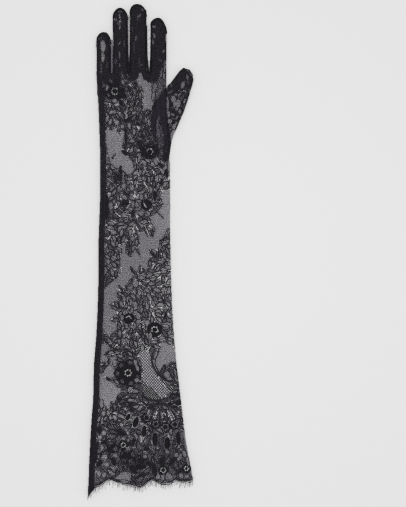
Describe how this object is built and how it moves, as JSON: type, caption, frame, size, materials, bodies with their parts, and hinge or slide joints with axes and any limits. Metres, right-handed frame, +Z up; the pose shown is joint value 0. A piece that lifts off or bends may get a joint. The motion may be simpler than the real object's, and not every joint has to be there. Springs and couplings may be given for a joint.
{
  "type": "opera-length lace glove",
  "caption": "Left opera-length glove of corded floral lace, lying flat: folded panel, felled side seam, set-in thumb, fourchettes and a scalloped hem with eyelash fringe.",
  "frame": {"origin": "centre of the glove's bounding box, on the surface that it lies on", "axes": "+Y towards the fingertips, +X towards the thumb, +Z up from the surface"},
  "size_m": [0.1282, 0.5906, 0.0092],
  "materials": {
    "lace": "matte corded lace on a net ground",
    "seam": "matte overlocked seam, several layers of lace",
    "cord": "slightly lustrous gimp cord along the motifs",
    "fringe": "fine cut threads along the hem"
  },
  "bodies": {
    "root": {"lace_panel": "lace", "side_seam": "seam", "thumb": "lace", "fourchette_little_ring": "seam", "fourchette_ring_middle": "seam", "fourchette_middle_index": "seam"}
  },
  "joints": []
}
